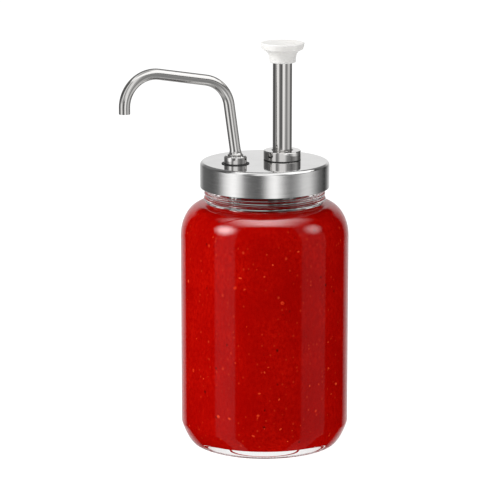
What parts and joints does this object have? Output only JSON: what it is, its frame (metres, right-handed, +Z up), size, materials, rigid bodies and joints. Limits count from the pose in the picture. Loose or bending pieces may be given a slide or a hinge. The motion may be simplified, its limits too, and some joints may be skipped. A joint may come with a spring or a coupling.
{
  "type": "syrup dispenser",
  "caption": "Tall glass jar with a twist-off steel lid that carries a sprung plunger pump with a white push knob and a bent, swivelling spout.",
  "frame": {"origin": "centre of the ring that the jar stands on, in the plane of the table", "axes": "+Z up along the jar, the spout points to -X, the plunger stands on the +X side"},
  "size_m": [0.2176, 0.1524, 0.3667],
  "materials": {
    "glass": "clear moulded glass, smooth outside, stippled ring under the foot",
    "lid_steel": "pressed stainless sheet, polished",
    "polished_steel": "turned and bent stainless, polished",
    "plunger_steel": "drawn stainless tube, satin along its length",
    "tube_steel": "drawn stainless tube",
    "inner_steel": "turned stainless",
    "spring_steel": "bright spring wire",
    "ball_steel": "ground and polished balls",
    "knob_plastic": "white moulded plastic, slightly translucent, soft gloss",
    "liner_plastic": "pale moulded plastic",
    "pump_plastic": "turned plastic, off-white",
    "soft_white": "soft pale gasket",
    "rubber": "dark food-grade rubber"
  },
  "bodies": {
    "jar": {"glass_jar": "glass"},
    "lid_seat": {"lid_gasket": "soft_white"},
    "lid": {"lid_shell": "lid_steel", "lid_liner": "liner_plastic", "pump_collar": "polished_steel", "collar_washer": "rubber", "head_washer": "rubber", "pump_head": "inner_steel", "guide_bush": "pump_plastic", "plunger_wiper": "rubber", "bayonet_pins": "inner_steel", "pump_cylinder": "tube_steel", "cylinder_gasket": "rubber", "return_spring": "spring_steel", "valve_body": "inner_steel", "passage_plug": "inner_steel", "inlet_stop_pin": "inner_steel", "outlet_stop_pin": "inner_steel", "suction_tube": "tube_steel", "pipe_gland_nut": "inner_steel", "pipe_seal": "rubber", "discharge_pipe": "tube_steel", "spout_fitting": "inner_steel", "fitting_washer": "rubber", "spout_washer": "rubber", "spout_nut": "polished_steel", "spout_seal": "rubber"},
    "spout": {"spout_tube": "polished_steel"},
    "plunger": {"knob": "knob_plastic", "knob_stud": "inner_steel", "plunger_tube": "plunger_steel", "plunger_foot": "inner_steel", "piston": "pump_plastic", "piston_rings": "rubber", "piston_screw": "inner_steel"},
    "inlet_valve": {"inlet_ball": "ball_steel"},
    "outlet_valve": {"outlet_ball": "ball_steel"}
  },
  "joints": [
    {"name": "lid_lift", "type": "slide", "parent": "jar", "child": "lid_seat", "axis": [0, 0, 1], "range_m": [0, 0.26]},
    {"name": "lid_turn", "type": "hinge", "parent": "lid_seat", "child": "lid", "pos_m": [0, 0, 0.2593], "axis": [0, 0, -1], "range_deg": [0, 30]},
    {"name": "plunger_press", "type": "slide", "parent": "lid", "child": "plunger", "axis": [0, 0, -1], "range_m": [0, 0.0795], "stiffness_N_per_m": 250, "springref_m": -0.04, "deforming": ["return_spring"]},
    {"name": "spout_swivel", "type": "hinge", "parent": "lid", "child": "spout", "pos_m": [-0.0292, 0, 0.268], "axis": [0, 0, 1], "range_deg": [-140, 140]},
    {"name": "inlet_ball_lift", "type": "slide", "parent": "lid", "child": "inlet_valve", "axis": [0, 0, 1], "range_m": [0, 0.003]},
    {"name": "outlet_ball_lift", "type": "slide", "parent": "lid", "child": "outlet_valve", "axis": [0, 0, 1], "range_m": [0, 0.003]}
  ]
}
